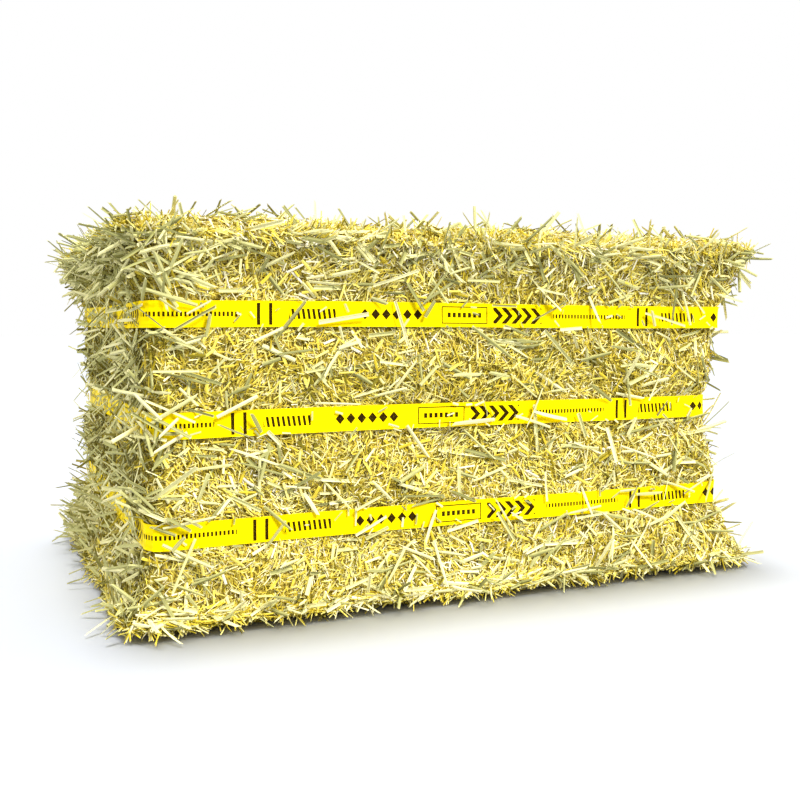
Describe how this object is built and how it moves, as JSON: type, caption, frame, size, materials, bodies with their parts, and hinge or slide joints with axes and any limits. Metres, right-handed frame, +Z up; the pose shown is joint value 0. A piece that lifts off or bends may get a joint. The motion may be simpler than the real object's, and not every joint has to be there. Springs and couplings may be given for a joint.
{
  "type": "square straw bale",
  "caption": "Rectangular pressed straw bale bristling with stray stalks, held by flat plastic straps that draw its ends in; it stands on its flat underside.",
  "frame": {"origin": "middle of the underside, at the level the bale rests on", "axes": "+X along the bale towards its more pinched end, -Y out of its front, +Z up"},
  "size_m": [0.82, 0.594, 0.421],
  "materials": {
    "straw": "dry golden straw, matt with faint gloss on single stalks",
    "strap": "bright yellow plastic with dark printed marks"
  },
  "bodies": {
    "root": {"straw_block": "straw", "strap_upper": "strap", "strap_middle": "strap", "strap_lower": "strap"}
  },
  "joints": []
}
